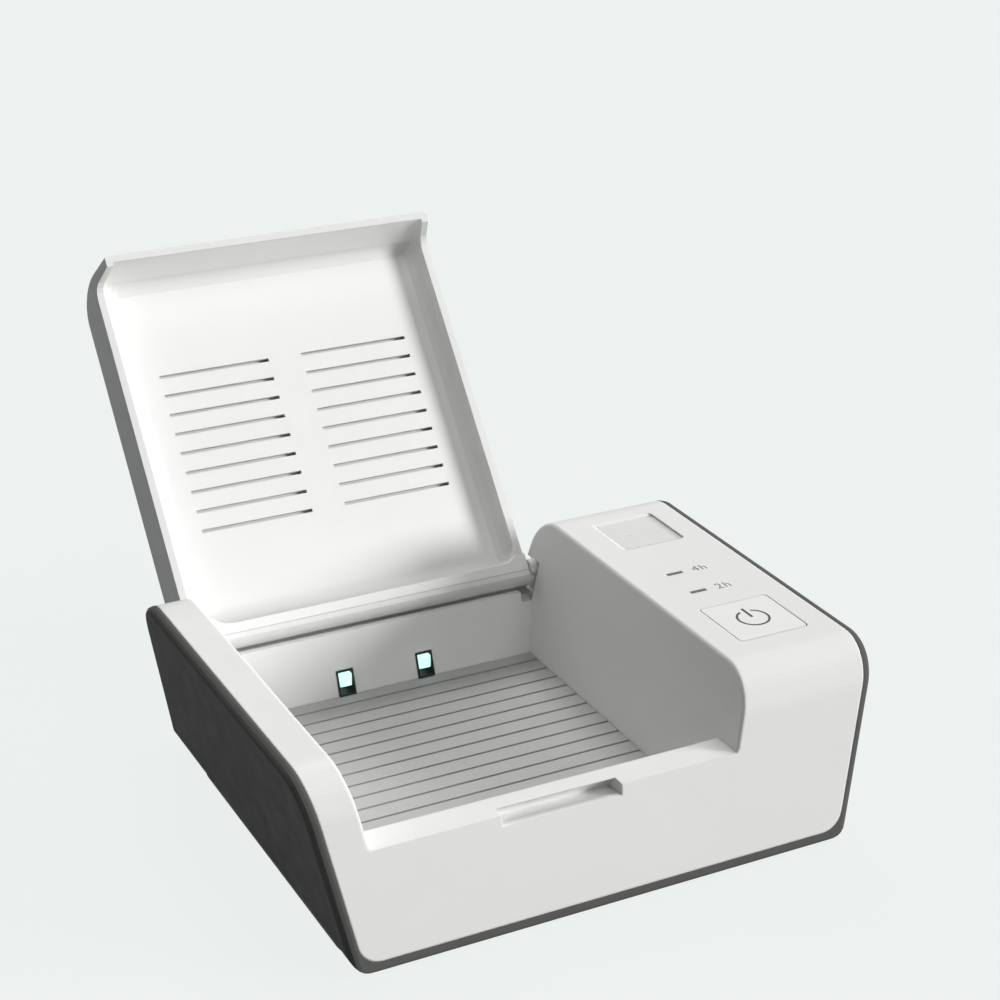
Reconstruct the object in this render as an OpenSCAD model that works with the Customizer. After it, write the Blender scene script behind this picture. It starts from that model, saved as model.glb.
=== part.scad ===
// Drying box for hearing aids, with a hinged lid that stands open.
// All lengths are in millimetres. The origin is under the middle of the foot mat;
// x runs to the right, y to the back and z up.

/* [Body] */
// Width across the white shell at the top
seam_width = 152; // [148:0.5:158]
// Depth of the top, front plane to back plane
body_depth = 110; // [109:0.5:116]
// Height of the shell above its foot
body_height = 50.3; // [49.2:0.1:54]
// How far the foot stands out under the shell
foot_height = 1.2; // [1:0.1:2.4]
// Thickness of the rubber mat
mat_height = 0.6; // [0.4:0.1:0.8]
// Distance of the foot's sides from the side of the white shell's top
foot_inset = 9.1; // [8.5:0.1:12]
// Thickness of the grey outer shell
rim_wall = 2.8; // [2:0.1:3.2]
// Wall thickness of the white shell
shell_wall = 2; // [1.8:0.1:2.4]
// Lean of the side faces, degrees
side_draft = 11.68; // [10.8:0.02:12.4]
// Radius of the top edges at the front and the back
edge_radius = 12; // [11:0.5:13]
// Rounding of the grey rim
rim_round = 2; // [1:0.1:2.2]

/* [Chamber] */
// Width of the left wall at the top
left_wall = 9.7; // [9.5:0.1:12]
// Width of the control pod at the top
pod_width = 35.6; // [35:0.2:39]
// Height of the chamber floor above the bottom of the white shell
floor_lift = 9.6; // [9.2:0.1:10.4]
// Depth of the front ledge below the top
ledge_depth = 19.5; // [19:0.1:20.5]
// Distance between the grooves of the floor
groove_pitch = 5.8; // [5.4:0.1:6]
// Width of a groove
groove_width = 0.8; // [0.6:0.1:1.2]

/* [Lid] */
// Opening angle of the lid, degrees
open_angle = 129.6; // [110:0.2:131]
// Gap between the lid and the walls beside it
lid_gap = 0.4; // [0.35:0.05:0.6]
// Thickness of the lid's outer skin
lid_skin = 1.2; // [1:0.1:1.4]
// Thickness of the lid's sides and lip, skin and liner together
lid_wall = 1.9; // [1.8:0.1:2.4]
// Thickness of the skin's edge where it turns in
lid_edge = 0.7; // [0.6:0.1:1]
// Gap between the skin and the liner around their edges
nest_gap = 0.05; // [0.05:0.01:0.1]
// Depth of the side flanges
flange_depth = 9.35; // [8.8:0.05:9.8]
// Width of a slot in the liner
slot_width = 1; // [0.8:0.1:1.4]
// Distance between the slots
slot_pitch = 5.79; // [5.4:0.01:6]

/* [Hinge] */
// Distance of the hinge axis from the front plane of the top
hinge_back = 108; // [107.8:0.1:108.2]
// Depth of the hinge axis below the top
hinge_depth = 15; // [14.8:0.1:15.2]
// Radius of a hinge pin
pin_radius = 0.75; // [0.7:0.01:0.8]
// Radius of the bosses that hold the hinge pins
boss_radius = 2.4; // [2.2:0.1:2.6]
// Running clearance around a hinge pin
pin_clearance = 0.03; // [0.02:0.01:0.05]

/* [Controls] */
// Side of the power button
button_size = 20; // [18:0.1:20.4]
// Side of the display's window
display_size = 19.2; // [18:0.1:19.6]
// Groove around the button
button_gap = 0.25; // [0.2:0.05:0.4]
// Travel of the button
button_travel = 0.6; // [0.4:0.1:0.7]
// Clearance around the plunger of the switch
plunger_clearance = 0.08; // [0.05:0.01:0.1]
// Clearance around the fan shaft
shaft_clearance = 0.03; // [0.02:0.01:0.05]

/* [Hidden] */
$fn = 48;

tan_side = tan(side_draft);
front_lean = 6.7;
back_lean = 11.09;
top_z = body_height + foot_height;
seam_half = seam_width / 2;
seam_low = foot_height + rim_wall - 0.1;
seam_radius = 6;
y_front = back(-20);
y_rear = rear(140);

chamber_left = -seam_half + left_wall;
chamber_right = seam_half - pod_width;
chamber_x = (chamber_left + chamber_right) / 2;
chamber_half = (chamber_right - chamber_left) / 2 + 0.02;
floor_z = seam_low + floor_lift;
tray_low = floor_z - 2;
tray_half = chamber_half - tan_side * (top_z - floor_z) + 0.9;
shelf_depth = 24;
middle_half = chamber_half + 2 - tan_side * ledge_depth;

hinge_y = rear(hinge_back);
hinge_z = top_z - hinge_depth;
bar_half = chamber_half - 5.3;
relief_half = chamber_half - 1.1;
relief_radius = 10.7;
slot_reach = chamber_half - 15.4;

lid_half = chamber_half - 0.02 - lid_gap;
lip_depth = ledge_depth - 0.3;

button_x = chamber_right + pod_width / 2 + 0.45;
button_y = back(26.6);
board_z = top_z - 10.5;
plate_z = top_z - shell_wall;
board_top = board_z + 1.6;
board_x = button_x - 0.7;
board_half = pod_width / 2 - 4.3;
display_x = button_x + 0.5;
display_y = rear(86.95);
pane_sink = 0.5;
pane_half = display_size / 2 - 1.2;
screw_x_left = 13.7 - seam_half;
screw_x_right = seam_half - 15;
post_top = seam_low + 22.1;

fan_x = seam_half - pod_width / 2 - 7.8;
fan_y = back(31);
fan_z = tray_low + 3.5;
fan_size = 25;
heater_x = fan_x - 36.35;
dc_x = button_x - 2.65;
dc_z = seam_low + 10.6;

// y of a point that lies a given distance behind the front plane of the top
function back(d) = d - body_depth / 2;
// y of the hinge area and the back wall, which keep to the back plane of the top
function rear(d) = d - 110 + body_depth / 2;
// z of a point a given depth below the top
function down(d) = top_z - d;

function arc(cy, cz, r, a0, a1, n) =
  [for (i = [0:n]) let (a = a0 + (a1 - a0) * i / n) [cy + r * cos(a), cz + r * sin(a)]];

// y of the front plane and of the back plane, moved inward by a distance
function front_at(z, f) = back(0) - tan(front_lean) * (top_z - z) + f / cos(front_lean);
function rear_at(z, b) = rear(110) + tan(back_lean) * (top_z - z) - b / cos(back_lean);

// Side view of the body, with its front, top and back moved inward
function profile(f, t, b, low, rf, rb, rl) = let (zf = top_z - t - rf, zb = top_z - t - rb)
  concat(
    arc(front_at(zf, f + rf), zf, rf, 180 - front_lean, 90, 12),
    arc(rear_at(zb, b + rb), zb, rb, 90, back_lean, 12),
    arc(rear_at(low + rl, b + rl), low + rl, rl, back_lean, -90, 5),
    arc(front_at(low + 1, f + 1), low + 1, 1, 270, 180 - front_lean, 3));

// Side view of the lid, whose back edge curls in under the top edge
function lid_profile(e, low) = let (zf = top_z - edge_radius, zb = top_z - 12,
    cy = rear_at(zb, 12), a = -40)
  concat(
    arc(front_at(zf, edge_radius), zf, edge_radius - e, 180 - front_lean, 90, 12),
    arc(cy, zb, 12 - e, 90, 0, 12),
    arc(cy + 4.5, zb, 7.5 - e, a / 5, a, 4),
    [[cy + 4.5 + (7.5 - e) * cos(a) - (zb - low) * 0.6, low], [front_at(low, e), low]]);

// Front view of the body, a band with drafted sides and rounded bottom corners
function section(half, low, r) = let (cz = low + r, up = 3,
    cx = half - tan_side * (top_z - cz) - r / cos(side_draft))
  concat([[half + tan_side * up, top_z + up]], arc(cx, cz, r, -side_draft, -90, 6),
    arc(-cx, cz, r, 270, 180 + side_draft, 6), [[-half - tan_side * up, top_z + up]]);

module along_x(x0, x1) translate([x0, 0, 0]) rotate([90, 0, 90]) linear_extrude(x1 - x0) children();
module along_y(y0, y1) translate([0, y1, 0]) rotate([90, 0, 0]) linear_extrude(y1 - y0) children();
module along_z(z0, z1) translate([0, 0, z0]) linear_extrude(z1 - z0) children();
module box(x0, x1, y0, y1, z0, z1) translate([x0, y0, z0]) cube([x1 - x0, y1 - y0, z1 - z0]);
module rod_x(x0, x1, y, z, r) translate([x0, y, z]) rotate([0, 90, 0]) cylinder(h = x1 - x0, r = r);
module rod_y(y0, y1, x, z, r) translate([x, y1, z]) rotate([90, 0, 0]) cylinder(h = y1 - y0, r = r);
module rod_z(z0, z1, x, y, r) translate([x, y, z0]) cylinder(h = z1 - z0, r = r);
module round_plan(w, d, r) hull() for (x = [-1, 1], y = [-1, 1])
  translate([x * (w / 2 - r), y * (d / 2 - r)]) circle(r = r, $fn = 32);

// Depth from the side face and inset of the outline, around an edge of a given radius
function edge_steps(r, n) = r > 0 ?
  [for (i = [0:n]) [r * (1 - cos(90 * i / n)), r * (1 - sin(90 * i / n))]] : [[0, 0]];
function backwards(v) = [for (i = [len(v) - 1:-1:0]) v[i]];

// A solid through upright outlines, each given as its x at the top, its lean and its points
module skin(rows) {
  n = len(rows[0][2]);
  last = (len(rows) - 1) * n;
  polyhedron(points = [for (r = rows) for (p = r[2]) [r[0] + r[1] * (p[1] - top_z), p[0], p[1]]],
    faces = concat([[for (j = [n - 1:-1:0]) j]],
      [for (s = [0:len(rows) - 2]) for (j = [0:n - 1]) let (a = s * n + j, b = s * n + (j + 1) % n)
        each [[a, b, b + n], [a, b + n, a + n]]],
      [[for (j = [0:n - 1]) last + j]]), convexity = 4);
}

// A block between two leaning side faces, with rounded edges around them
module body_block(x0, k0, r0, x1, k1, r1, f, t, b, low, rf, rb) skin(concat(
  [for (q = edge_steps(r0, 3)) let (e = q[1])
    [x0 + q[0], k0, profile(f + e, t + e, b + e, low + e, rf - e, rb - e, 4.5 - min(e, 3))]],
  [for (q = backwards(edge_steps(r1, 3))) let (e = q[1])
    [x1 - q[0], k1, profile(f + e, t + e, b + e, low + e, rf - e, rb - e, 4.5 - min(e, 3))]]));

module lid_block(side, e0, r) skin(concat(
  [for (q = edge_steps(r, 3))
    [chamber_x - lid_half + side + q[0], -tan_side, lid_profile(e0 + q[1], down(30))]],
  [for (q = backwards(edge_steps(r, 3)))
    [chamber_x + lid_half - side - q[0], tan_side, lid_profile(e0 + q[1], down(30))]]));

// The open space of the chamber and of the place for the lid, grown by a wall
module chamber_space(w) {
  half = chamber_half + w / cos(side_draft);
  low = floor_z - (w > 0 ? 0 : 1);
  edge = down(w > 0 ? shelf_depth + w : 21.3);
  shelf_y = rear(w > 0 ? 109 : 107.8);
  intersection() {
    along_x(chamber_x - chamber_half - 8, chamber_x + chamber_half + 8) polygon([
      [y_front, down(-2)], [y_front, down(ledge_depth + w)], [back(6.4 - w), down(ledge_depth + w)],
      [back(8.4 - w), low], [back_wall_y(floor_z) + w * 1.06, low], [back_wall_y(edge) + w * 1.06, edge],
      [shelf_y, edge], [shelf_y, down(shelf_depth + w)], [y_rear, down(shelf_depth + w)],
      [y_rear, down(-2)]]);
    along_y(y_front - 2, y_rear + 2) polygon([
      [chamber_x - half - tan_side * 3, down(-3)], [chamber_x - half + tan_side * 45, down(45)],
      [chamber_x + half - tan_side * 45, down(45)], [chamber_x + half + tan_side * 3, down(-3)]]);
  }
}
function back_wall_y(z) = rear(106.3) - 0.357 * (top_z - 20 - z);

// Room for the lid's back corners beside the hinge, grown by a wall
module hinge_relief(w) for (s = [-1, 1]) intersection() {
  translate([chamber_x + s * (relief_half - 3.5 + w * 0.45), hinge_y, hinge_z]) rotate([0, 90, 0])
    cylinder(h = 7 + w, r = relief_radius + w, center = true);
  box(chamber_x - chamber_half - 8, chamber_x + chamber_half + 8, rear(105) - w, rear(130),
    down(shelf_depth + w), down(hinge_depth - 2 - w));
}

module finger_notch() along_x(chamber_x - 15.7, chamber_x + 16.6) polygon([
  [back(-8), down(ledge_depth - 0.5)], [back(0.9), down(ledge_depth - 0.5)],
  [back(1.0), down(ledge_depth)], [back(2.2), down(20.4)], [back(3.1), down(21.4)], [back(3.6), down(22.3)],
  [back(3.5), down(22.9)], [back(2.6), down(23)], [back(1.5), down(22.8)], [back(-2.5), down(22.3)],
  [back(-8), down(22.1)]]);

module screw_places() for (x = [screw_x_left, screw_x_right], y = [back(12), rear(100)])
  translate([x, y, 0]) children();

module board_posts() for (x = [2.5 - board_half, board_half - 2.5], y = [back(40.4), rear(69)])
  translate([board_x + x, y, 0]) children();

function sleeve_section() = section(seam_half + rim_wall + 0.05, foot_height, seam_radius + 0.8);

// The grey sleeve: both sides and the bottom, open at the front and the back.
module outer_shell() color("#38383a") difference() {
  intersection() {
    body_block(-seam_half - rim_wall, -tan_side, rim_round, seam_half + rim_wall, tan_side, rim_round,
      0, 0, 0, foot_height - 0.2, edge_radius, edge_radius);
    along_y(y_front, y_rear) polygon(sleeve_section());
  }
  along_y(y_front - 2, y_rear + 2) polygon(section(seam_half, seam_low, seam_radius));
  screw_places() { rod_z(foot_height - 1, foot_height + 0.8, 0, 0, 2.7); rod_z(0, seam_low + 1, 0, 0, 1.45); }
}

// The pins sit in bosses that stand out from the walls on both sides of the lid's bar.
module pin_bosses() for (s = [-1, 1]) mirror_at(s) difference() {
  rod_x(bar_half + 0.3, relief_half + 0.6, hinge_y, hinge_z, boss_radius);
  rod_x(bar_half - 1, bar_half + 4.1, hinge_y, hinge_z, pin_radius);
}
module mirror_at(s) translate([chamber_x, 0, 0]) mirror([s < 0 ? 1 : 0, 0, 0]) children();

// The outside of the white shell, with the lower middle part between the two high sides
module shell_outside() intersection() {
  union() {
    body_block(-seam_half, -tan_side, 0, chamber_left, -tan_side, 0.8, 0, 0, 0, foot_height,
      edge_radius, edge_radius);
    body_block(chamber_right, tan_side, 0.8, seam_half, tan_side, 0, 0, 0, 0, foot_height,
      edge_radius, edge_radius);
    intersection() {
      along_x(4 - seam_half, seam_half - 12)
        polygon(profile(0, 0, 0, foot_height, edge_radius, edge_radius, 4.5));
      box(chamber_x - middle_half, chamber_x + middle_half, y_front, y_rear, 0, down(ledge_depth - 0.5));
    }
  }
  along_y(y_front, y_rear) polygon(section(seam_half, seam_low, seam_radius));
}

// The hollow inside of the white shell, open towards the bottom
module shell_inside() difference() {
  intersection() {
    along_x(-seam_half, seam_half) polygon(profile(shell_wall, shell_wall, shell_wall, -6,
      edge_radius - shell_wall, edge_radius - shell_wall, 2));
    union() {
      along_y(y_front, y_rear) polygon(section(seam_half - shell_wall / cos(side_draft),
        seam_low + shell_wall, seam_radius - shell_wall));
      box(19 - seam_half, seam_half - 19, y_front, y_rear, 0, seam_low + 4);
    }
  }
  chamber_space(shell_wall);
  hinge_relief(shell_wall);
  box(chamber_x - 18, chamber_x + 19, back(-8), back(6), down(25), down(ledge_depth));
  screw_places() rod_z(seam_low, post_top, 0, 0, 2.6);
  for (y = [back(12), rear(100)]) {
    box(-seam_half, screw_x_left, y - 0.8, y + 0.8, seam_low + 2, post_top);
    box(screw_x_right, seam_half, y - 0.8, y + 0.8, seam_low + 2, post_top);
  }
  board_posts() rod_z(board_top, plate_z + 1, 0, 0, 2);
  for (s = [-19, 19]) rod_y(rear(110.6), rear(125), chamber_x + s, floor_z + 4.5, 2);
}

// The window of the display, with slanted faces at the back and on the left above its pane
module display_window() translate([display_x, display_y, 0]) intersection() {
  along_z(plate_z - 1, top_z + 1) round_plan(display_size, display_size, 1.2);
  along_x(-display_size, display_size) polygon([
    [-display_size, plate_z - 2], [pane_half, plate_z - 2], [pane_half, top_z - pane_sink],
    [display_size / 2 + 0.2, top_z + 0.1], [display_size / 2 + 0.2, top_z + 2], [-display_size, top_z + 2]]);
  along_y(-display_size, display_size) polygon([
    [display_size, plate_z - 2], [-pane_half, plate_z - 2], [-pane_half, top_z - pane_sink],
    [-display_size / 2 - 0.2, top_z + 0.1], [-display_size / 2 - 0.2, top_z + 2], [display_size, top_z + 2]]);
}

// The white shell: left wall, control pod, front ledge and back wall in one moulding.
module upper_shell() color("#e4e4e2") {
  difference() {
    shell_outside();
    shell_inside();
    chamber_space(0);
    hinge_relief(0);
    finger_notch();
    display_window();
    screw_places() rod_z(seam_low - 1, post_top - 12, 0, 0, 1.25);
    board_posts() rod_z(board_top - 1, plate_z - 2, 0, 0, 0.8);
    translate([button_x, button_y, 0]) along_z(plate_z - 1, top_z + 1)
      round_plan(button_size + 2 * button_gap, button_size + 2 * button_gap, 1.2);
    for (y = guide_rows) box(button_x - 6.85, button_x - 2.05, y - guide_half, y + guide_half,
      plate_z - 1, top_z + 1);
    for (x = lamp_places) box(x - 2.5, x + 2.5, rear(92), rear(110), floor_z + 0.1, floor_z + 6.9);
    for (s = [-19, 19]) rod_y(rear(110), rear(114), chamber_x + s, floor_z + 4.5, 0.8);
    rod_y(rear(112), rear(125), dc_x, dc_z, 4.6);
  }
  pin_bosses();
}
guide_rows = [back(58.5), back(46.4)];
guide_half = 0.65;
lamp_places = [chamber_x - 11.2, chamber_x + 12.8];

module tray_plan() polygon([for (p = [[-1, 0], [1, 0], [1, 1], [-1, 1]])
  [chamber_x + p[0] * tray_half, p[1] == 0 ? back(5.2) : back_wall_y(floor_z) + 1.4]]);
function groove_y(i) = back(37.7) + (i - 5) * groove_pitch;
groove_count = floor((back_wall_y(floor_z) - groove_y(0)) / groove_pitch);

// The chamber floor: grooves all over, open slots at the front where the warm air comes in.
module floor_tray() color("#dcdbd9") {
  difference() {
    along_z(tray_low, floor_z) tray_plan();
    for (i = [0:groove_count]) box(chamber_x - tray_half - 1, chamber_x + tray_half + 1,
      groove_y(i) - groove_width / 2, groove_y(i) + groove_width / 2, floor_z - 0.8, floor_z + 1);
    for (i = [0:3]) for (s = [-24, -8, 8]) box(chamber_x + s, chamber_x + s + 14,
      groove_y(i) - groove_width / 2, groove_y(i) + groove_width / 2, tray_low - 1, floor_z + 1);
  }
  for (p = [[-1, back(12)], [-1, rear(90)], [1, rear(90)], [1, rear(52)]])
    rod_z(seam_low, tray_low, chamber_x + p[0] * (tray_half - 6.4), p[1], 2.5);
}

module foot_plan(in) translate([0, -2, 0])
  round_plan(2 * (seam_half - foot_inset - in), body_depth - 6 - 2 * in, 8);

// The dark plinth under the grey shell.
module bottom_cover() color("#1a1c1e") difference() {
  along_z(mat_height, foot_height + 1.6) foot_plan(0);
  along_y(y_front, y_rear) polygon(sleeve_section());
  screw_places() rod_z(0, foot_height + 2, 0, 0, 2.7);
}

module foot_mat() color("#151617") along_z(0, mat_height) foot_plan(0.6);

module case_screws() color("#9b9da0") screw_places() difference() {
  union() {
    rod_z(mat_height + 0.15, foot_height + 0.8, 0, 0, 2.5);
    rod_z(foot_height + 0.8, post_top - 13, 0, 0, 1.25);
  }
  for (a = [0, 90]) rotate([0, 0, a]) box(-1.4, 1.4, -0.3, 0.3, mat_height, foot_height + 0.2);
}

module lid_pose() translate([0, hinge_y, hinge_z]) rotate([-open_angle, 0, 0])
  translate([0, -hinge_y, -hinge_z]) children();

// What is kept of the lid's block, short of the edges by a given distance: lip, flanges and the rear curl
module lid_keep(short) {
  along_x(chamber_x - lid_half - 3, chamber_x + lid_half + 3) polygon(concat(
    [[y_front, down(-5)], [y_front, down(lip_depth - short)], [back(0.9 - short), down(lip_depth - short)]],
    arc(back(6.2), down(flange_depth + 4), 4 + short, 180, 90, 4),
    [[y_rear, down(flange_depth - short)], [y_rear, down(-5)]]));
  box(chamber_x - bar_half, chamber_x + bar_half, rear(104), rear(125),
    down(bar_depth), down(flange_depth - 1));
}
bar_depth = hinge_depth + 1.7;

// The back of the skin reaches past the ends of the bar, around the bosses of the pins.
module lid_apron() difference() {
  intersection() {
    translate([chamber_x, 0, 0]) along_y(rear(110.4), rear(130))
      polygon(section(lid_half, down(bar_depth), 2.5));
    box(chamber_x - lid_half, chamber_x + lid_half, rear(110.4), rear(130),
      down(bar_depth), down(flange_depth - 1));
  }
  for (s = [-1, 1]) mirror_at(s)
    rod_x(bar_half - 0.01, chamber_half + 5, hinge_y, hinge_z, boss_radius + 0.45);
}

// The outer skin, whose edge turns in over the edge of the liner
module lid_shell() color("#e4e4e2") lid_pose() difference() {
  intersection() {
    lid_block(0, 0, 0.6);
    union() { lid_keep(0); lid_apron(); }
  }
  intersection() {
    lid_block(lid_skin, lid_skin, 0);
    union() {
      lid_keep(lid_edge);
      box(chamber_x - lid_half, chamber_x + lid_half, rear(103.5), y_rear,
        down(40), down(flange_depth - lid_edge));
    }
  }
  lid_cavity();
}

// The hollow of the lid: a flat lip, and round corners along the flanges
function cavity_profile(e) =
  profile(lid_wall + 0.1, 3.2 + e, 7 + e, down(26), 3.6 - e * 0.45, 7 - e * 0.9, 1);
module lid_cavity() skin(concat(
  [for (q = edge_steps(7, 5)) [chamber_x - lid_half + lid_wall + q[0], -tan_side, cavity_profile(q[1])]],
  [for (q = backwards(edge_steps(7, 5)))
    [chamber_x + lid_half - lid_wall - q[0], tan_side, cavity_profile(q[1])]]));

// The lid's inner moulding, with the slots, the rear wall and the hinge bar.
module lid_liner() color("#f0efee") lid_pose() difference() {
  intersection() {
    lid_block(lid_skin + nest_gap, lid_skin + nest_gap, 0);
    lid_keep(lid_edge + nest_gap);
    box(chamber_x - lid_half, chamber_x + lid_half, y_front, y_rear, down(25), down(2.2));
  }
  lid_cavity();
  for (i = [0:8], x = [-slot_reach, 5]) translate([chamber_x + x, back(29.8) + i * slot_pitch, down(4)])
    translate([0, -slot_width / 2, 0]) cube([slot_reach - 5, slot_width, 3]);
  box(chamber_x - chamber_half, chamber_x + chamber_half, rear(108.85), rear(109.25),
    down(bar_depth + 1), down(bar_depth - 0.9));
  box(chamber_x - slot_reach, chamber_x + slot_reach, rear(106.2), rear(109.2), down(11.5), down(2));
  for (s = [-1, 1]) mirror_at(s)
    rod_x(bar_half - 6, bar_half + 1, hinge_y, hinge_z, pin_radius + pin_clearance);
}

module lid_magnet() color("#77797c") lid_pose()
  box(chamber_x + lid_half - 14, chamber_x + lid_half - 6, back(14), back(18),
    down(2.2), down(lid_skin + 0.1));

module hinge_pin(s) color("#8d8f92") mirror_at(s)
  rod_x(bar_half - 5.5, bar_half + 4, hinge_y, hinge_z, pin_radius);
module hinge_pin_left() hinge_pin(-1);
module hinge_pin_right() hinge_pin(1);

// The power button: a square cap with a flange under the pod's top and a stem on the switch.
module power_button() color("#e6e6e4") translate([button_x, button_y, 0]) {
  difference() {
    union() {
      along_z(plate_z - 1.2, top_z) round_plan(button_size, button_size, 1);
      along_z(plate_z - 1.2, plate_z - 0.05) round_plan(button_size + 1.6, button_size + 1.6, 1.4);
    }
    along_z(plate_z - 2, top_z - 1.5) round_plan(button_size - 4, button_size - 4, 1);
  }
  rod_z(board_top + 3.9, top_z - 1.5, 0, 0, 2);
}

module switch_plunger() color("#2a2b2d")
  rod_z(board_top + 1.5, board_top + 3.9, button_x, button_y, 1.5);

module switch_body() color("#3a3b3d") difference() {
  box(button_x - 3, button_x + 3, button_y - 3, button_y + 3, board_top, board_top + 2.5);
  rod_z(board_top + 0.6, board_top + 4, button_x, button_y, 1.5 + plunger_clearance);
}

// The light guides end as thin bars in the pod's top.
module light_guide(y) color("#3c3c3a") {
  box(button_x - 6.85, button_x - 2.05, y - guide_half, y + guide_half, plate_z, top_z);
  box(button_x - 7.65, button_x - 1.25, y - 1.2, y + 1.2, board_top + 1.8, plate_z);
}
module light_guide_4h() light_guide(guide_rows[0]);
module light_guide_2h() light_guide(guide_rows[1]);

module status_leds() color("#f2f0c8") for (y = guide_rows)
  box(button_x - 5.45, button_x - 3.45, y - 0.6, y + 0.6, board_top, board_top + 0.8);

// The display's pane fills the window, with a flange behind the pod's top.
module display_lens() color("#d8d7d5") translate([display_x, display_y, 0]) {
  along_z(plate_z - 1.2, plate_z) round_plan(display_size + 2.1, display_size + 1.9, 1);
  translate([(display_size / 2 - pane_half) / 2, -(display_size / 2 - pane_half) / 2, 0])
    along_z(plate_z - 0.1, top_z - pane_sink)
      round_plan(display_size / 2 + pane_half - 0.2, display_size / 2 + pane_half - 0.2, 1.1);
}

module display_module() color("#2f3133") translate([display_x, display_y, board_top])
  translate([0.3, 0.3, 0] - [1, 1, 0] * display_size / 2)
    cube([display_size - 0.6, display_size - 0.6, plate_z - 1.4 - board_top]);

module control_board() color("#2d6b45") difference() {
  box(board_x - board_half, board_x + board_half, back(12), rear(99), board_z, board_top);
  board_posts() rod_z(board_z - 1, board_top + 1, 0, 0, 1);
}

module board_screws() color("#9b9da0") board_posts() difference() {
  union() { rod_z(board_z - 1.2, board_z, 0, 0, 1.7); rod_z(board_z, board_top + 3, 0, 0, 0.8); }
  for (a = [0, 90]) rotate([0, 0, a]) box(-1, 1, -0.2, 0.2, board_z - 2, board_z - 0.7);
}

module lid_sensor() color("#1d1e20")
  translate([board_x - board_half + 0.6, back(13.5), board_top]) cube([2.8, 3, 1.4]);

module fan_frame() color("#232527") translate([fan_x, fan_y, fan_z]) difference() {
  union() {
    difference() {
      along_z(0, 10) round_plan(fan_size, fan_size, 2);
      rod_z(-1, 11, 0, 0, 11.6);
    }
    rod_z(0, 1.6, 0, 0, 5.5);
    for (a = [45:90:359]) rotate([0, 0, a]) box(5, 12.4, -0.7, 0.7, 0, 1.4);
    rod_z(1.6, 6, 0, 0, 1.8);
  }
  rod_z(0.8, 7, 0, 0, 0.8 + shaft_clearance);
  for (x = [-10.3, 10.3], y = [-10.3, 10.3]) rod_z(-1, 11, x, y, 0.9);
}

module fan_impeller() color("#33363a") translate([fan_x, fan_y, fan_z]) {
  difference() {
    rod_z(2.2, 9, 0, 0, 5.6);
    rod_z(2, 7.6, 0, 0, 4.4);
  }
  rod_z(1, 7.6, 0, 0, 0.8);
  for (a = [0:360 / 7:359]) rotate([0, 0, a]) translate([5.2, 0, 5.6]) rotate([38, 0, 0])
    box(0, 5.8, -0.35, 0.35, -3.1, 3.1);
}

// The duct takes the fan's air under the floor tray.
module air_duct() color("#26282a") difference() {
  union() {
    translate([fan_x, fan_y, 0]) along_z(fan_z - 1.2, fan_z) round_plan(fan_size, fan_size, 2);
    box(fan_x - 11.9, fan_x + 6.6, fan_y - 11.5, fan_y + 11.5, seam_low + 0.2, fan_z - 1.2);
    box(chamber_x - 28, fan_x - 11.9, back(8), fan_y + 11.5, seam_low + 0.2, tray_low - 0.3);
  }
  rod_z(fan_z - 2, fan_z + 1, fan_x, fan_y, 11);
  box(fan_x - 12, fan_x + 5.4, fan_y - 10.3, fan_y + 10.3, seam_low + 1.4, fan_z - 1.2);
  box(chamber_x - 26.8, fan_x - 11.9, back(9.2), fan_y + 10.3, seam_low + 1.4, tray_low - 1.5);
  box(chamber_x - 26, chamber_x + 23.5, back(9.2), back(30.5), seam_low + 2, tray_low + 1);
}

module heater() color("#b9bcc0") difference() {
  box(heater_x, heater_x + 18, fan_y - 9.5, fan_y + 9.5, seam_low + 1.5, tray_low - 1.6);
  for (i = [-3:3]) box(heater_x - 2, heater_x + 19, fan_y + i * 2.6 - 0.9, fan_y + i * 2.6 + 0.9,
    seam_low + 2.3, tray_low - 2.4);
}

module uv_board() color("#2d6b45") difference() {
  box(chamber_x - 22, chamber_x + 22, rear(109), rear(110.6), floor_z - 2,
    down(shelf_depth + shell_wall + 1.5));
  for (s = [-19, 19]) rod_y(rear(108), rear(112), chamber_x + s, floor_z + 4.5, 1);
}

module uv_screws() color("#9b9da0") for (s = [-19, 19]) translate([chamber_x + s, 0, floor_z + 4.5])
  difference() {
    union() { rod_y(rear(107.8), rear(109), 0, 0, 1.8); rod_y(rear(109), rear(113.5), 0, 0, 0.8); }
    for (a = [0, 90]) rotate([0, a, 0]) box(-1, 1, rear(107), rear(108.3), -0.2, 0.2);
  }

// A black frame lines each lamp window from the chamber wall to the lamp board.
module uv_bezel(x) color("#101214") difference() {
  intersection() {
    box(x - 2.5, x + 2.5, rear(92), rear(109), floor_z + 0.1, floor_z + 6.9);
    along_x(x - 5, x + 5) polygon([[back_wall_y(floor_z - 1), floor_z - 1], [rear(109), floor_z - 1],
      [rear(109), floor_z + 9], [back_wall_y(floor_z + 9), floor_z + 9]]);
  }
  box(x - 2, x + 2, rear(90), rear(110), floor_z + 0.6, floor_z + 6.4);
}
module uv_bezel_left() uv_bezel(lamp_places[0]);
module uv_bezel_right() uv_bezel(lamp_places[1]);

module uv_lamp(x) color("#c8f5ec")
  box(x - 1.9, x + 1.5, rear(104.5), rear(109), floor_z + 2.3, floor_z + 6.3);
module uv_lamp_left() uv_lamp(lamp_places[0]);
module uv_lamp_right() uv_lamp(lamp_places[1]);

module dc_inlet() color("#17181a") {
  difference() {
    union() {
      rod_y(rear(113), rear(116.3), dc_x, dc_z, 4.5);
      box(dc_x - 4.5, dc_x + 4.5, rear(103.5), rear(113), dc_z - 4.6, dc_z + 4.6);
    }
    rod_y(rear(106), rear(118), dc_x, dc_z, 2.8);
  }
  rod_y(rear(105), rear(115.3), dc_x, dc_z, 1);
}

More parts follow.
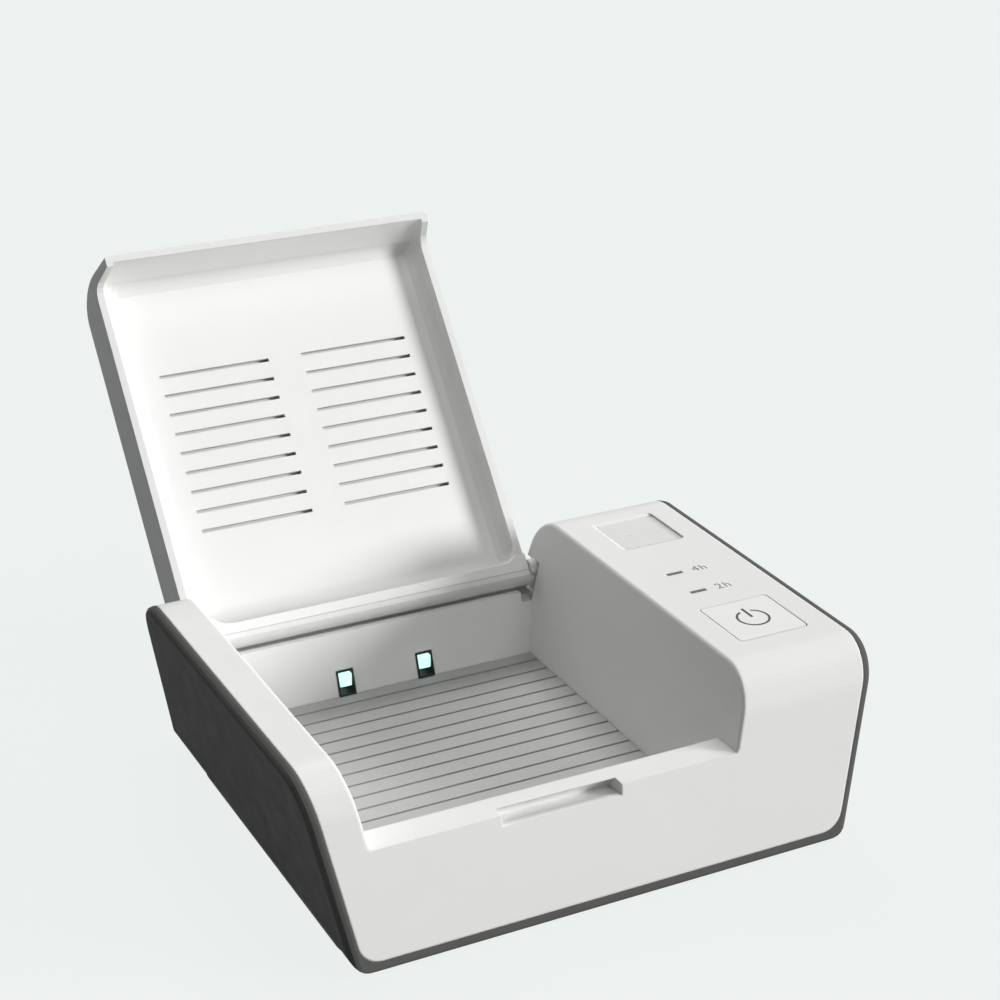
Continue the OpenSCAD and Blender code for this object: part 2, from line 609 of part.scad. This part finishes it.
outer_shell();
upper_shell();
floor_tray();
bottom_cover();
foot_mat();
case_screws();
lid_shell();
lid_liner();
lid_magnet();
hinge_pin_left();
hinge_pin_right();
power_button();
switch_plunger();
switch_body();
light_guide_4h();
light_guide_2h();
display_lens();
display_module();
control_board();
board_screws();
status_leds();
lid_sensor();
fan_frame();
fan_impeller();
air_duct();
heater();
uv_board();
uv_screws();
uv_bezel_left();
uv_bezel_right();
uv_lamp_left();
uv_lamp_right();
dc_inlet();
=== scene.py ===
"""Dresses the drying box for hearing aids: finishes, printed marks, lamps, camera and studio."""

import logging
import math
from dataclasses import dataclass, field
from enum import Enum

import bmesh
import bpy
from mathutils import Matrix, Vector


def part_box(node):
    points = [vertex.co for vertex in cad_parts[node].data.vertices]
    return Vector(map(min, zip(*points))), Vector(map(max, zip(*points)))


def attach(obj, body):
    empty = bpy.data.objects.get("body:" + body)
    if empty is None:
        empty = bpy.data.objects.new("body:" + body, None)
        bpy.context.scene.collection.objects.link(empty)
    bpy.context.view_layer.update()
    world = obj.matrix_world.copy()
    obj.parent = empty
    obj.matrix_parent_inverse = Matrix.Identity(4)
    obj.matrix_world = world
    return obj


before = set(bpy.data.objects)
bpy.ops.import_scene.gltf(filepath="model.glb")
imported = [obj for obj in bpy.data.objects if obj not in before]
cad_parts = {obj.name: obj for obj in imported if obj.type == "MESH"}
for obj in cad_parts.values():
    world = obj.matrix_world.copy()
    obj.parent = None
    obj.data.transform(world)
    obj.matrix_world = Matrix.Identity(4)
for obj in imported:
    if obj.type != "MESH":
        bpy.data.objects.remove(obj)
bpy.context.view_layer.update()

MM = 0.001
INK_THICKNESS = 0.03 * MM
INK_SINK = 0.005 * MM

log = logging.getLogger("drying_box")

Color = tuple[float, float, float, float]
Point2 = tuple[float, float]


def paint(code: str) -> Color:
    """Turns a written colour into the linear colour that Blender works in.

    Args:
        code: Six hexadecimal digits, as in "e4e4e2".

    Returns:
        Red, green, blue and an opaque alpha.
    """
    parts = [int(code[i:i + 2], 16) / 255 for i in (0, 2, 4)]
    lin = [c / 12.92 if c <= 0.04045 else ((c + 0.055) / 1.055) ** 2.4 for c in parts]
    return (lin[0], lin[1], lin[2], 1.0)


def shade(color: Color, factor: float) -> Color:
    """Darkens or lightens a linear colour by a factor."""
    return (color[0] * factor, color[1] * factor, color[2] * factor, 1.0)


class Graph:
    """A material's node tree, with short calls for the nodes that the finishes share."""

    NOISE_LOW = 0.3
    NOISE_HIGH = 0.7

    def __init__(self, name: str) -> None:
        """Starts an empty material with a Principled shader and its output.

        Args:
            name: The material's name.
        """
        self.material = bpy.data.materials.new(name)
        self.material.use_nodes = True
        self.tree = self.material.node_tree
        self.tree.nodes.clear()
        self.output = self.add("ShaderNodeOutputMaterial")
        self.shader = self.add("ShaderNodeBsdfPrincipled")
        self.link(self.shader, "BSDF", self.output, "Surface")
        self.coords = self.add("ShaderNodeTexCoord")

    def add(self, kind: str, **values: object) -> bpy.types.Node:
        """Adds a node and sets its plain attributes.

        Args:
            kind: The node's Blender type.
            **values: Attributes of the node, by name.

        Returns:
            The new node.
        """
        node = self.tree.nodes.new(kind)
        for key, value in values.items():
            setattr(node, key, value)
        return node

    def link(self, a: bpy.types.Node, out: str, b: bpy.types.Node, into: str) -> None:
        """Joins one node's output to another node's input, by socket name."""
        self.tree.links.new(a.outputs[out], b.inputs[into])

    def set(self, **values: object) -> None:
        """Sets sockets of the Principled shader, with underscores for spaces."""
        for key, value in values.items():
            self.shader.inputs[key.replace("_", " ")].default_value = value

    def noise(self, size: float, detail: float = 3.0, stretch: Vector | None = None) -> bpy.types.Node:
        """Adds a noise in the object's own coordinates.

        Args:
            size: The size of its spots, in metres.
            detail: Octaves of finer noise.
            stretch: Scale along each axis, for streaks.

        Returns:
            The noise node.
        """
        node = self.add("ShaderNodeTexNoise")
        node.inputs["Scale"].default_value = 1.0 / size
        node.inputs["Detail"].default_value = detail
        if stretch is None:
            self.link(self.coords, "Object", node, "Vector")
        else:
            mapping = self.add("ShaderNodeMapping")
            mapping.inputs["Scale"].default_value = stretch
            self.link(self.coords, "Object", mapping, "Vector")
            self.link(mapping, "Vector", node, "Vector")
        return node

    def ramp(self, source: bpy.types.Node, out: str, stops: list[tuple[float, Color]]) -> bpy.types.Node:
        """Adds a colour ramp behind a node.

        Args:
            source: The node whose value it reads.
            out: The name of that node's output.
            stops: Places from 0 to 1 with their colours.

        Returns:
            The ramp node.
        """
        node = self.add("ShaderNodeValToRGB")
        ramp = node.color_ramp
        while len(ramp.elements) < len(stops):
            ramp.elements.new(0.5)
        for element, (place, color) in zip(ramp.elements, stops):
            element.position = place
            element.color = color
        self.link(source, out, node, "Fac")
        return node

    def spread(self, source: bpy.types.Node, out: str, low: float, high: float) -> bpy.types.Node:
        """Adds a Map Range that turns a noise into values from low to high.

        Args:
            source: The noise node.
            out: The name of that node's output.
            low: The value where the noise is darkest.
            high: The value where it is brightest.

        Returns:
            The Map Range node.
        """
        node = self.add("ShaderNodeMapRange")
        node.inputs["From Min"].default_value = self.NOISE_LOW
        node.inputs["From Max"].default_value = self.NOISE_HIGH
        node.inputs["To Min"].default_value = low
        node.inputs["To Max"].default_value = high
        self.link(source, out, node, "Value")
        return node

    def relief(self, source: bpy.types.Node, out: str, height: float, soften: float) -> None:
        """Gives the surface a fine relief on softly rounded edges.

        Args:
            source: The node with the relief's height.
            out: The name of that node's output.
            height: Depth of the relief, in metres.
            soften: Radius that rounds hard edges in the shading, in metres.
        """
        bump = self.add("ShaderNodeBump")
        bump.inputs["Strength"].default_value = 1.0
        bump.inputs["Distance"].default_value = height
        self.link(source, out, bump, "Height")
        if soften > 0:
            bevel = self.add("ShaderNodeBevel", samples=6)
            bevel.inputs["Radius"].default_value = soften
            self.link(bevel, "Normal", bump, "Normal")
        self.link(bump, "Normal", self.shader, "Normal")


@dataclass(frozen=True)
class MouldedPlastic:
    """Injection moulded plastic: a fine spark-eroded grain and slow changes of tone."""

    name: str
    color: str
    roughness: float = 0.42
    grain: float = 0.25 * MM
    depth: float = 0.004 * MM
    tone: float = 0.03
    tone_size: float = 22 * MM
    patch_size: float = 6 * MM
    patch_swing: tuple[float, float] = (-0.04, 0.05)
    soften: float = 0.5 * MM
    specular: float = 0.4
    coat: float = 0.0
    coat_roughness: float = 0.15

    def material(self) -> bpy.types.Material:
        """Builds the finish.

        Returns:
            Its material.
        """
        g = Graph(self.name)
        base = paint(self.color)
        slow = g.noise(self.tone_size, 2.0)
        tint = g.ramp(slow, "Fac", [(g.NOISE_LOW, shade(base, 1 - self.tone)), (g.NOISE_HIGH, base)])
        g.link(tint, "Color", g.shader, "Base Color")
        fine = g.noise(self.grain, 2.0)
        patch = g.noise(self.patch_size, 3.0)
        low, high = (self.roughness + swing for swing in self.patch_swing)
        rough = g.spread(patch, "Fac", low, high)
        g.link(rough, "Result", g.shader, "Roughness")
        g.set(Specular_IOR_Level=self.specular, Coat_Weight=self.coat, Coat_Roughness=self.coat_roughness)
        g.relief(fine, "Fac", self.depth, self.soften)
        return g.material


@dataclass(frozen=True)
class Lamp:
    """A lit lamp: a pale bright cover that gives its own light."""

    name: str
    color: str
    strength: float
    mottle: float = 1.2 * MM
    dim: float = 0.82
    roughness: float = 0.25

    def material(self) -> bpy.types.Material:
        """Builds the finish.

        Returns:
            Its material.
        """
        g = Graph(self.name)
        base = paint(self.color)
        spot = g.noise(self.mottle, 1.0)
        glow = g.ramp(spot, "Fac", [(0.35, shade(base, self.dim)), (0.65, base)])
        g.link(glow, "Color", g.shader, "Base Color")
        g.link(glow, "Color", g.shader, "Emission Color")
        g.set(Emission_Strength=self.strength, Roughness=self.roughness)
        return g.material


@dataclass(frozen=True)
class Rubber:
    """Dull anti-slip rubber with a close pebbled relief."""

    name: str
    color: str
    pebble: float = 1.4 * MM
    pebble_depth: float = 0.12 * MM
    dust_size: float = 9 * MM
    dust_lift: float = 1.5
    roughness: float = 0.8
    specular: float = 0.3
    soften: float = 0.3 * MM

    def material(self) -> bpy.types.Material:
        """Builds the finish.

        Returns:
            Its material.
        """
        g = Graph(self.name)
        base = paint(self.color)
        dust = g.noise(self.dust_size, 4.0)
        tint = g.ramp(dust, "Fac", [(0.35, base), (0.75, shade(base, self.dust_lift))])
        g.link(tint, "Color", g.shader, "Base Color")
        cells = g.add("ShaderNodeTexVoronoi")
        cells.inputs["Scale"].default_value = 1.0 / self.pebble
        g.link(g.coords, "Object", cells, "Vector")
        g.set(Roughness=self.roughness, Specular_IOR_Level=self.specular)
        g.relief(cells, "Distance", self.pebble_depth, self.soften)
        return g.material


@dataclass(frozen=True)
class WorkedMetal:
    """Turned or rolled metal with fine streaks."""

    name: str
    color: str
    roughness: float = 0.32
    roughness_swing: tuple[float, float] = (-0.08, 0.1)
    streak: tuple[float, float, float] = (1.0, 12.0, 1.0)
    streak_size: float = 0.6 * MM
    streak_dim: float = 0.8
    streak_depth: float = 0.006 * MM
    soften: float = 0.1 * MM

    def material(self) -> bpy.types.Material:
        """Builds the finish.

        Returns:
            Its material.
        """
        g = Graph(self.name)
        base = paint(self.color)
        lines = g.noise(self.streak_size, 3.0, Vector(self.streak))
        tint = g.ramp(lines, "Fac", [(g.NOISE_LOW, shade(base, self.streak_dim)), (g.NOISE_HIGH, base)])
        g.link(tint, "Color", g.shader, "Base Color")
        low, high = (self.roughness + swing for swing in self.roughness_swing)
        rough = g.spread(lines, "Fac", low, high)
        g.link(rough, "Result", g.shader, "Roughness")
        g.set(Metallic=1.0)
        g.relief(lines, "Fac", self.streak_depth, self.soften)
        return g.material


@dataclass(frozen=True)
class CircuitBoard:
    """Lacquered circuit board with copper tracks under the lacquer."""

    name: str
    color: str
    track: float = 1.6 * MM
    track_depth: float = 0.02 * MM
    track_lift: float = 1.5
    tracks_per_cell: int = 3
    unevenness: float = 0.7
    roughness: float = 0.28
    lacquer: float = 0.4
    lacquer_roughness: float = 0.1

    def material(self) -> bpy.types.Material:
        """Builds the finish.

        Returns:
            Its material.
        """
        g = Graph(self.name)
        base = paint(self.color)
        cells = g.add("ShaderNodeTexVoronoi", distance="MANHATTAN")
        cells.inputs["Scale"].default_value = 1.0 / (self.tracks_per_cell * self.track)
        cells.inputs["Randomness"].default_value = self.unevenness
        g.link(g.coords, "Object", cells, "Vector")
        tint = g.ramp(cells, "Distance", [(0.3, shade(base, self.track_lift)), (0.36, base)])
        g.link(tint, "Color", g.shader, "Base Color")
        g.set(Roughness=self.roughness, Coat_Weight=self.lacquer, Coat_Roughness=self.lacquer_roughness)
        g.relief(cells, "Distance", self.track_depth, 0.0)
        return g.material


class Finish(Enum):
    """The finishes of the drying box. The lid's pieces are thin, so their shading softens no edge."""

    WHITE_SHELL = MouldedPlastic("white_shell_plastic", "e6e6e4", tone=0.015, roughness=0.45, specular=0.25,
                                 soften=0.7 * MM)
    LID_SKIN = MouldedPlastic("lid_skin_plastic", "e6e6e4", tone=0.015, roughness=0.45, specular=0.25,
                              soften=0.0)
    LINER = MouldedPlastic("lid_liner_plastic", "ececea", tone=0.015, roughness=0.38, soften=0.0)
    BUTTON = MouldedPlastic("button_cap_plastic", "e9e9e7", tone=0.01, roughness=0.36, soften=0.25 * MM)
    # The tray's plastic is greyer than the white shell. Part of that grey is painted shade: the chamber
    # floor's darkness is put into its colour.
    FLOOR = MouldedPlastic("tray_plastic", "b6b5b3", tone=0.02, roughness=0.5, soften=0.12 * MM)
    GREY_SHELL = MouldedPlastic("grey_sleeve_plastic", "5e5e5c", roughness=0.6, specular=0.02,
                                depth=0.006 * MM, tone=0.05, soften=0.5 * MM)
    FOOT = MouldedPlastic("plinth_plastic", "1c1e20", roughness=0.6, depth=0.01 * MM, tone=0.1)
    MAT = Rubber("foot_mat_rubber", "141516")
    BLACK = MouldedPlastic("inner_black_plastic", "232427", roughness=0.5, tone=0.08, soften=0.15 * MM)
    BEZEL = MouldedPlastic("lamp_frame_plastic", "0c0e10", roughness=0.4, tone=0.05, soften=0.1 * MM)
    GUIDE = MouldedPlastic("light_guide_smoke", "3c3c3a", roughness=0.2, tone=0.05, soften=0.1 * MM, coat=0.5)
    LENS = MouldedPlastic("display_cover", "dddcda", roughness=0.3, tone=0.02, depth=0.002 * MM, soften=0.0)
    INK = MouldedPlastic("printed_ink", "2c2c2b", roughness=0.55, tone=0.05, grain=0.1 * MM, soften=0.0)
    PALE_INK = MouldedPlastic("printed_pale_ink", "70706e", roughness=0.55, tone=0.05, grain=0.1 * MM,
                              soften=0.0)
    LED = Lamp("status_led", "f2f0c8", 0.1)
    UV_LAMP = Lamp("uv_lamp_cover", "c4f3ea", 1.1)
    BOARD = CircuitBoard("circuit_board_lacquer", "1f5b3a")
    STEEL = WorkedMetal("screw_steel", "9b9da0")
    MAGNET = WorkedMetal("magnet_nickel", "8c8e92", roughness=0.2)
    HEATER = WorkedMetal("heater_aluminium", "c3c6ca", streak=(8.0, 1.0, 1.0))


class FinishShelf:
    """Makes each finish once and hands out its material."""

    def __init__(self) -> None:
        """Starts with no finish made."""
        self._made: dict[Finish, bpy.types.Material] = {}

    def get(self, finish: Finish) -> bpy.types.Material:
        """Gives the material of a finish, which is made when first asked for.

        Args:
            finish: The finish that is wanted.

        Returns:
            Its material.
        """
        if finish not in self._made:
            self._made[finish] = finish.value.material()
        return self._made[finish]

    def dress(self, finish: Finish, *nodes: str) -> None:
        """Gives CAD nodes a finish.

        Args:
            finish: The finish they get.
            *nodes: Names of nodes of the frame.
        """
        for node in nodes:
            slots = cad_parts[node].material_slots
            for slot in slots:
                slot.material = self.get(finish)
            if not slots:
                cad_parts[node].data.materials.append(self.get(finish))
            log.info("dressed %s in %s", node, finish.name.lower())


def place_mesh(name: str, bm: bmesh.types.BMesh, material: bpy.types.Material) -> bpy.types.Object:
    """Turns a finished bmesh into an object of the scene.

    Args:
        name: The piece's name.
        bm: Its shape, which is used up.
        material: Its finish.

    Returns:
        The new object, linked to the scene.
    """
    bmesh.ops.recalc_face_normals(bm, faces=bm.faces)
    mesh = bpy.data.meshes.new(name)
    bm.to_mesh(mesh)
    bm.free()
    mesh.materials.append(material)
    obj = bpy.data.objects.new(name, mesh)
    bpy.context.scene.collection.objects.link(obj)
    return obj


def plate_from_outlines(name: str, loops: list[list[Point2]], z: float, height: float,
                        material: bpy.types.Material) -> bpy.types.Object:
    """Makes a flat plate from closed outlines.

    Args:
        name: The piece's name.
        loops: Closed outlines in x and y, each a strip of its own.
        z: Height of its underside.
        height: Its thickness.
        material: Its finish.

    Returns:
        The new object, linked to the scene.
    """
    bm = bmesh.new()
    for loop in loops:
        low = [bm.verts.new((x, y, z)) for x, y in loop]
        face = bm.faces.new(low)
        lifted = bmesh.ops.extrude_face_region(bm, geom=[face])
        top = [v for v in lifted["geom"] if isinstance(v, bmesh.types.BMVert)]
        bmesh.ops.translate(bm, verts=top, vec=(0, 0, height))
    return place_mesh(name, bm, material)


@dataclass
class PowerMark:
    """The printed power sign: an open ring with a bar in its gap."""

    shelf: FinishShelf
    radius: float = 4.5 * MM
    line: float = 0.62 * MM
    gap_deg: float = 21.0
    bar_line: float = 0.75 * MM
    bar_start: float = 0.4 * MM
    bar_reach: float = 5.6 * MM
    steps: int = 40

    def ring(self, x: float, y: float) -> list[Point2]:
        """Draws the open ring around a centre.

        Args:
            x: The centre's place along X.
            y: The centre's place along Y.

        Returns:
            The ring's outline, the outer arc first.
        """
        start = math.radians(90 + self.gap_deg)
        sweep = math.radians(360 - 2 * self.gap_deg)
        angles = [start + sweep * i / self.steps for i in range(self.steps + 1)]
        outer = [(x + self.radius * math.cos(a), y + self.radius * math.sin(a)) for a in angles]
        inner_r = self.radius - self.line
        inner = [(x + inner_r * math.cos(a), y + inner_r * math.sin(a)) for a in reversed(angles)]
        return outer + inner

    def build(self) -> None:
        """Prints the mark on the button's face."""
        low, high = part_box("power_button")
        x, y = (low.x + high.x) / 2, (low.y + high.y) / 2
        half = self.bar_line / 2
        bar = [(x - half, y + self.bar_start), (x + half, y + self.bar_start),
               (x + half, y + self.bar_reach), (x - half, y + self.bar_reach)]
        mark = plate_from_outlines("power_mark", [self.ring(x, y), bar], high.z - INK_SINK, INK_THICKNESS,
                                   self.shelf.get(Finish.INK))
        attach(mark, "button")
        log.info("printed power_mark")


@dataclass
class TimeMark:
    """A printed running time beside its light guide."""

    shelf: FinishShelf
    text: str
    guide: str
    offset: float = 5.5 * MM
    letter_size: float = 4.2 * MM
    letter_spacing: float = 1.15

    def letters(self) -> bpy.types.Mesh:
        """Cuts the text's letters as thin plates.

        Returns:
            Their mesh, around the middle of the text's left edge.
        """
        curve = bpy.data.curves.new(f"time_{self.text}", "FONT")
        curve.body = self.text
        curve.align_x = "LEFT"
        curve.align_y = "CENTER"
        curve.size = self.letter_size
        curve.space_character = self.letter_spacing
        curve.extrude = INK_THICKNESS / 2
        maker = bpy.data.objects.new("time_maker", curve)
        bpy.context.scene.collection.objects.link(maker)
        bpy.context.view_layer.update()
        mesh = bpy.data.meshes.new_from_object(maker.evaluated_get(bpy.context.evaluated_depsgraph_get()))
        bpy.data.objects.remove(maker)
        mesh.materials.clear()
        mesh.materials.append(self.shelf.get(Finish.PALE_INK))
        return mesh

    def build(self) -> None:
        """Prints the time to the right of its light guide."""
        low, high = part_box(self.guide)
        obj = bpy.data.objects.new(f"time_mark_{self.text}", self.letters())
        bpy.context.scene.collection.objects.link(obj)
        obj.location = ((low.x + high.x) / 2 + self.offset, (low.y + high.y) / 2,
                        high.z + INK_THICKNESS / 2 - INK_SINK)
        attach(obj, "case")
        log.info("printed %s", obj.name)


@dataclass
class Case:
    """The white shell in its grey sleeve, with the foot, screws and inner works."""

    shelf: FinishShelf

    def build(self) -> None:
        """Dresses every fixed piece of the case."""
        dress = self.shelf.dress
        dress(Finish.WHITE_SHELL, "upper_shell")
        dress(Finish.GREY_SHELL, "outer_shell")
        dress(Finish.FOOT, "bottom_cover")
        dress(Finish.MAT, "foot_mat")
        dress(Finish.STEEL, "case_screws", "board_screws", "uv_screws")
        dress(Finish.BLACK, "dc_inlet", "fan_frame", "air_duct", "fan_impeller", "display_module",
              "lid_sensor", "switch_body")
        dress(Finish.HEATER, "heater")
        dress(Finish.BOARD, "control_board", "uv_board")
        dress(Finish.LED, "status_leds")


@dataclass
class LampCover:
    """The lit cover that stands in a lamp window, a crowned block with rounded corners."""

    shelf: FinishShelf
    side: str
    width: float = 3.45 * MM
    corner: float = 0.3 * MM
    bevel: float = 0.25 * MM
    bevel_mid: tuple[float, float] = (0.28, 0.35)
    recess: float = 0.75 * MM
    frame_gap: float = 0.56 * MM
    foot_lift: float = 0.25 * MM
    lamp_gap: float = 0.02 * MM
    steps: int = 5

    def outline(self, x: float, z: float, width: float, height: float, corner: float) -> list[Point2]:
        """Draws a rounded rectangle in x and z.

        Args:
            x: Its left edge.
            z: Its lower edge.
            width: Its width.
            height: Its height.
            corner: Radius of its corners.

        Returns:
            Its points, corner by corner.
        """
        centres = [(x + width - corner, z + height - corner), (x + corner, z + height - corner),
                   (x + corner, z + corner), (x + width - corner, z + corner)]
        return [(cx + corner * math.cos(a), cz + corner * math.sin(a))
                for turn, (cx, cz) in enumerate(centres)
                for a in (math.pi / 2 * (turn + i / self.steps) for i in range(self.steps + 1))]

    def build(self) -> None:
        """Builds the cover in front of its lamp."""
        frame_low, frame_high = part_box(f"uv_bezel_{self.side}")
        lamp_low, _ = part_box(f"uv_lamp_{self.side}")
        left = frame_low.x + self.frame_gap
        top = frame_high.z - self.frame_gap
        height = top - lamp_low.z - self.foot_lift
        front = frame_low.y + self.recess
        mid_back, mid_in = (self.bevel * share for share in self.bevel_mid)
        rows = [(lamp_low.y - self.lamp_gap, 0.0), (front + self.bevel, 0.0), (front + mid_back, mid_in),
                (front, self.bevel)]
        bm = bmesh.new()
        rings = []
        for y, inset in rows:
            loop = self.outline(left + inset, top - height + inset, self.width - 2 * inset,
                                height - 2 * inset, self.corner)
            rings.append([bm.verts.new((x, y, z)) for x, z in loop])
        for a, b in zip(rings, rings[1:]):
            for i in range(len(a)):
                j = (i + 1) % len(a)
                bm.faces.new((a[i], a[j], b[j], b[i]))
        bm.faces.new(rings[0])
        bm.faces.new(rings[-1])
        obj = place_mesh(f"lamp_cover_{self.side}", bm, self.shelf.get(Finish.UV_LAMP))
        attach(obj, "case")
        log.info("built %s", obj.name)


@dataclass
class Chamber:
    """The drying chamber: grooved floor and the two lamp windows."""

    shelf: FinishShelf
    windows: tuple[str, ...] = ("left", "right")

    def build(self) -> None:
        """Dresses the floor and the lamp windows."""
        self.shelf.dress(Finish.FLOOR, "floor_tray")
        for side in self.windows:
            self.shelf.dress(Finish.BEZEL, f"uv_bezel_{side}")
            self.shelf.dress(Finish.UV_LAMP, f"uv_lamp_{side}")
            LampCover(self.shelf, side).build()


@dataclass
class Lid:
    """The open lid: outer skin, slotted liner, magnet and hinge pins."""

    shelf: FinishShelf

    def build(self) -> None:
        """Dresses the lid and its hinge."""
        self.shelf.dress(Finish.LID_SKIN, "lid_shell")
        self.shelf.dress(Finish.LINER, "lid_liner")
        self.shelf.dress(Finish.MAGNET, "lid_magnet")
        self.shelf.dress(Finish.STEEL, "hinge_pin_left", "hinge_pin_right")


@dataclass
class Controls:
    """The pod's top: power button, time marks with their lights, and the display."""

    shelf: FinishShelf
    times: dict[str, str] = field(default_factory=lambda: {"4h": "light_guide_4h", "2h": "light_guide_2h"})

    def build(self) -> None:
        """Dresses the controls and prints their marks."""
        dress = self.shelf.dress
        dress(Finish.BUTTON, "power_button")
        dress(Finish.BLACK, "switch_plunger")
        dress(Finish.GUIDE, *self.times.values())
        dress(Finish.LENS, "display_lens")
        PowerMark(self.shelf).build()
        for text, guide in self.times.items():
            TimeMark(self.shelf, text, guide).build()


@dataclass(frozen=True)
class SoftSun:
    """A wide soft light that is equally strong everywhere.

    Its direction points from the object to the light, and its width softens its shadows. A low light isn't
    mirrored, because it glares on flat tops seen from behind.
    """

    name: str
    toward: tuple[float, float, float]
    strength: float
    width_deg: float
    mirrored: bool = True

    def build(self) -> None:
        """Adds the light to the scene."""
        data = bpy.data.lights.new(self.name, "SUN")
        data.energy = self.strength
        data.angle = math.radians(self.width_deg)
        lamp = bpy.data.objects.new(self.name, data)
        lamp.rotation_euler = Vector(self.toward).to_track_quat("Z", "Y").to_euler()
        lamp.visible_glossy = self.mirrored
        bpy.context.scene.collection.objects.link(lamp)


@dataclass
class Studio:
    """The pale floor, the soft lights and the camera."""

    lens: float = 80.69
    film_width: float = 36
    nearest: float = 0.01
    eye: tuple[float, float, float] = (-233.8, -460.5, 309.2)
    gaze: tuple[float, float, float] = (0.41512, 0.81800, -0.3982)
    floor_half: float = 6.0
    floor_color: str = "f1f4f4"
    floor_dim: float = 0.3
    floor_roughness: float = 0.9
    floor_specular: float = 0.1
    floor_share: float = 0.85
    seen_color: str = "fafefd"
    sky_color: str = "f6f8fa"
    sky_strength: float = 0.9
    ambient: float = 0.12
    suns: tuple[SoftSun, ...] = (
        SoftSun("front_key", (0.79, -0.55, 0.27), 3.42, 18, mirrored=False),
        SoftSun("top_light", (0.2, -0.5, 0.84), 0.6, 30),
        SoftSun("back_light", (0.2, 0.6, 0.77), 1.45, 25),
    )

    def seen_share(self, tree: bpy.types.NodeTree, share: float) -> bpy.types.NodeSocket:
        """Gives a share to the rays that show the background: seen, mirrored and through clear parts.

        Args:
            tree: The node tree that gets the nodes.
            share: The value for such a ray; any other ray gets 0.

        Returns:
            The output with that value.
        """
        path = tree.nodes.new("ShaderNodeLightPath")
        seen = path.outputs["Is Camera Ray"]
        for ray in ("Is Glossy Ray", "Is Transmission Ray"):
            both = tree.nodes.new("ShaderNodeMath")
            both.operation = "MAXIMUM"
            tree.links.new(seen, both.inputs[0])
            tree.links.new(path.outputs[ray], both.inputs[1])
            seen = both.outputs["Value"]
        scale = tree.nodes.new("ShaderNodeMath")
        scale.operation = "MULTIPLY"
        scale.inputs[1].default_value = share
        tree.links.new(seen, scale.inputs[0])
        return scale.outputs["Value"]

    def surroundings(self) -> None:
        """Sets the world: a weak even light, which shows as pale as the floor."""
        world = bpy.data.worlds.new("studio")
        world.use_nodes = True
        tree = world.node_tree
        light = tree.nodes["Background"]
        light.inputs["Color"].default_value = paint(self.sky_color)
        light.inputs["Strength"].default_value = self.ambient
        pale = tree.nodes.new("ShaderNodeBackground")
        pale.inputs["Color"].default_value = paint(self.seen_color)
        pale.inputs["Strength"].default_value = self.sky_strength
        mix = tree.nodes.new("ShaderNodeMixShader")
        tree.links.new(self.seen_share(tree, 1.0), mix.inputs["Fac"])
        tree.links.new(light.outputs["Background"], mix.inputs[1])
        tree.links.new(pale.outputs["Background"], mix.inputs[2])
        tree.links.new(mix.outputs["Shader"], tree.nodes["World Output"].inputs["Surface"])
        bpy.context.scene.world = world

    def backdrop(self) -> None:
        """Lays the pale floor, which shows evenly pale and keeps the shadow."""
        half = self.floor_half
        mesh = bpy.data.meshes.new("studio_floor")
        corners = [(-half, -half, 0), (half, -half, 0), (half, half, 0), (-half, half, 0)]
        mesh.from_pydata(corners, [], [(0, 1, 2, 3)])
        floor = bpy.data.objects.new("studio_floor", mesh)
        bpy.context.scene.collection.objects.link(floor)
        g = Graph("studio_floor_paint")
        g.set(Base_Color=shade(paint(self.floor_color), self.floor_dim), Roughness=self.floor_roughness,
              Specular_IOR_Level=self.floor_specular)
        seen = g.add("ShaderNodeEmission")
        seen.inputs["Color"].default_value = paint(self.seen_color)
        mix = g.add("ShaderNodeMixShader")
        g.tree.links.new(self.seen_share(g.tree, self.floor_share), mix.inputs["Fac"])
        g.tree.links.new(g.shader.outputs["BSDF"], mix.inputs[1])
        g.tree.links.new(seen.outputs["Emission"], mix.inputs[2])
        g.link(mix, "Shader", g.output, "Surface")
        mesh.materials.append(g.material)

    def camera(self) -> None:
        """Sets the camera at the photograph's place and angle."""
        data = bpy.data.cameras.new("camera")
        data.lens = self.lens
        data.sensor_width = self.film_width
        data.clip_start = self.nearest
        eye = bpy.data.objects.new("camera", data)
        eye.location = Vector(self.eye) * MM
        eye.rotation_euler = Vector(self.gaze).to_track_quat("-Z", "Y").to_euler()
        bpy.context.scene.collection.objects.link(eye)
        bpy.context.scene.camera = eye

    def build(self) -> None:
        """Builds the studio."""
        bpy.context.scene.view_settings.view_transform = "Standard"
        self.surroundings()
        for sun in self.suns:
            sun.build()
        self.backdrop()
        self.camera()
        log.info("studio ready")


def main() -> None:
    """Builds the sub-assemblies in order."""
    logging.basicConfig(level=logging.INFO, format="%(name)s: %(message)s")
    shelf = FinishShelf()
    Case(shelf).build()
    Chamber(shelf).build()
    Lid(shelf).build()
    Controls(shelf).build()
    Studio().build()
    log.info("all pieces built")


if __name__ == "__main__":
    main()
